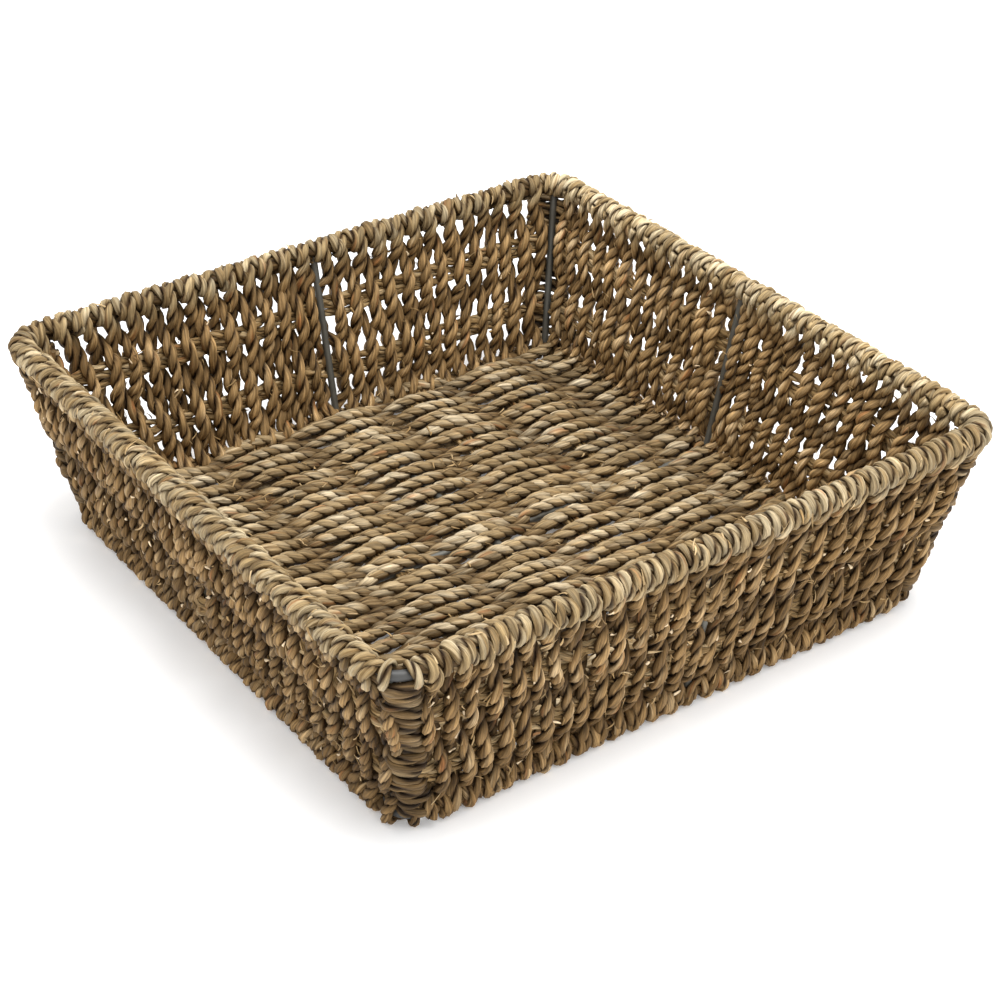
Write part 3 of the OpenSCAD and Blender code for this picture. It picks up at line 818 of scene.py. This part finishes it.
# ---------------------------------------------------------------- loose blade ends
tips = Piece("loose_blade_ends", [], "seagrass_weft", M_TIPS)
for k in range(4):
    for z, n in ((BAND_LOW, 30), (BAND_HIGH, 30), (0.5 * (BAND_HIGH + RIM_Z), 16), (52, 18), (15, 14)):
        for _ in range(n):
            c = corner_u(z)
            u = rng.uniform(-c, c)
            outer = rng.random() < 0.8
            v = (z + rng.standard_normal() * 3.5 - BASE_Z) / CS
            p = side_point(k, u, (4.8 if outer else -4.8) + 0.5 * rng.standard_normal(), v)
            nrm = side_dir(k, (0, -CS, -SN)) * (1 if outer else -1)
            d = side_dir(k, (rng.standard_normal() * 0.9, -SN * 0.2, rng.standard_normal() * 0.6)) + nrm * rng.uniform(0.02, 0.26)
            short = rng.random() < 0.85
            tone = 1.2 if short and rng.random() < 0.75 else rng.uniform(0.3, 0.9)
            emit(tips, [blade_strip(p, d, nrm, rng.uniform(1.8, 4.0) if short else rng.uniform(5, 9), rng.uniform(1.2, 2.4) if short else rng.uniform(0.9, 1.8), rng.uniform(-0.45, 0.1), tone)])
for _ in range(240):
    p = np.array([rng.uniform(-140, 140), rng.uniform(-140, 140), rng.uniform(11.6, 12.8)])
    d = np.array([rng.standard_normal(), rng.standard_normal(), rng.uniform(-0.08, 0.06)])
    emit(tips, [blade_strip(p, d, (0, 0, 1), rng.uniform(2.5, 6.5), rng.uniform(0.6, 1.4), rng.uniform(-0.15, 0.05), rng.uniform(0.3, 0.85))])
for _ in range(110):
    k = int(rng.integers(4))
    p, tg, nn = ring_at(k, rng.uniform(-155, 155), RIM_H, RIM_Z, RIM_R)
    a = rng.uniform(-0.6, 2.4)
    rad = math.cos(a) * nn + math.sin(a) * np.array([0, 0, 1.0])
    tan = -math.sin(a) * nn + math.cos(a) * np.array([0, 0, 1.0])
    emit(tips, [blade_strip(p + rad * 6.4, tan * rng.choice([-1, 1]) + 0.4 * rng.standard_normal() * tg + 0.1 * rad, rad, rng.uniform(3, 8), rng.uniform(0.9, 1.8), rng.uniform(-0.5, 0.0), rng.uniform(0.5, 1.0))])

# fine fibres lying close to the walls, inside and outside
for _ in range(560):
    k = int(rng.integers(4))
    z = rng.uniform(12, RIM_Z - 6)
    c = corner_u(z)
    sgn = 1 if rng.random() < 0.6 else -1
    p = side_point(k, rng.uniform(-c, c), sgn * rng.uniform(5.6, 7.0), (z - BASE_Z) / CS)
    nrm = side_dir(k, (0, -CS, -SN)) * sgn
    d = side_dir(k, (rng.standard_normal() * 0.7, -SN * 0.2, rng.choice([-1, 1]) * rng.uniform(0.4, 1.2))) + nrm * rng.uniform(-0.05, 0.12)
    emit(tips, [blade_strip(p, d, nrm, rng.uniform(3, 7), rng.uniform(0.5, 1.2), rng.uniform(-0.25, 0.05), rng.uniform(0.15, 0.7))])

for p in [*PIECES, tips]:
    p.build()

# ---------------------------------------------------------------- wires keep their CAD shape
for name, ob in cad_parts.items():
    if name in ("rim_ring", "base_ring"):
        mat = M_RING
    elif "post" in name or "floor_wire" in name:
        mat = M_POST
    else:
        continue
    for sl in ob.material_slots:
        sl.material = mat
    if not ob.material_slots:
        ob.data.materials.append(mat)

# ---------------------------------------------------------------- stage, light, camera
fm = bpy.data.materials.new("studio_floor")
fm.use_nodes = True
fb = fm.node_tree.nodes["Principled BSDF"]
fb.inputs["Base Color"].default_value = (0.88, 0.88, 0.88, 1)
fb.inputs["Roughness"].default_value = 0.9
fb.inputs["Specular IOR Level"].default_value = 0.1
fb.inputs["Emission Color"].default_value = (1, 1, 1, 1)
fb.inputs["Emission Strength"].default_value = 0.16
me = bpy.data.meshes.new("studio_floor")
me.from_pydata([(-6, -6, 0), (6, -6, 0), (6, 6, 0), (-6, 6, 0)], [], [(0, 1, 2, 3)])
floor = bpy.data.objects.new("studio_floor", me)
bpy.context.scene.collection.objects.link(floor)
me.materials.append(fm)

world = bpy.data.worlds.new("studio")
bpy.context.scene.world = world
world.use_nodes = True
world.node_tree.nodes["Background"].inputs["Color"].default_value = (1.0, 1.0, 1.0, 1)
world.node_tree.nodes["Background"].inputs["Strength"].default_value = 1.15


def area(name, loc, size, power, target=(0, 0, 0.05)):
    d = bpy.data.lights.new(name, "AREA")
    d.shape = "SQUARE"
    d.size = size
    d.energy = power
    o = bpy.data.objects.new(name, d)
    bpy.context.scene.collection.objects.link(o)
    o.location = loc
    o.rotation_mode = "QUATERNION"
    o.rotation_quaternion = (Vector(target) - Vector(loc)).to_track_quat("-Z", "Y")
    return o


area("key", (0.1, -0.15, 1.8), 1.1, 32.0)
area("fill", (0.4, -1.5, 1.2), 1.2, 4.0)

az, el, roll = math.radians(-36.25), math.radians(32.94), math.radians(0.83)
target = Vector((0.0358, 0.0368, 0.0015))
away = Vector((math.sin(az) * math.cos(el), -math.cos(az) * math.cos(el), math.sin(el)))
cd = bpy.data.cameras.new("camera")
cam = bpy.data.objects.new("camera", cd)
bpy.context.scene.collection.objects.link(cam)
cam.location = target + away * 1.1792
cam.rotation_mode = "QUATERNION"
cam.rotation_quaternion = (-away).to_track_quat("-Z", "Y") @ Quaternion((0, 0, 1), roll)
cd.sensor_width = 36.0
cd.lens = 78.0
cd.clip_start, cd.clip_end = 0.05, 50
bpy.context.scene.camera = cam
bpy.context.scene.view_settings.view_transform = "Standard"
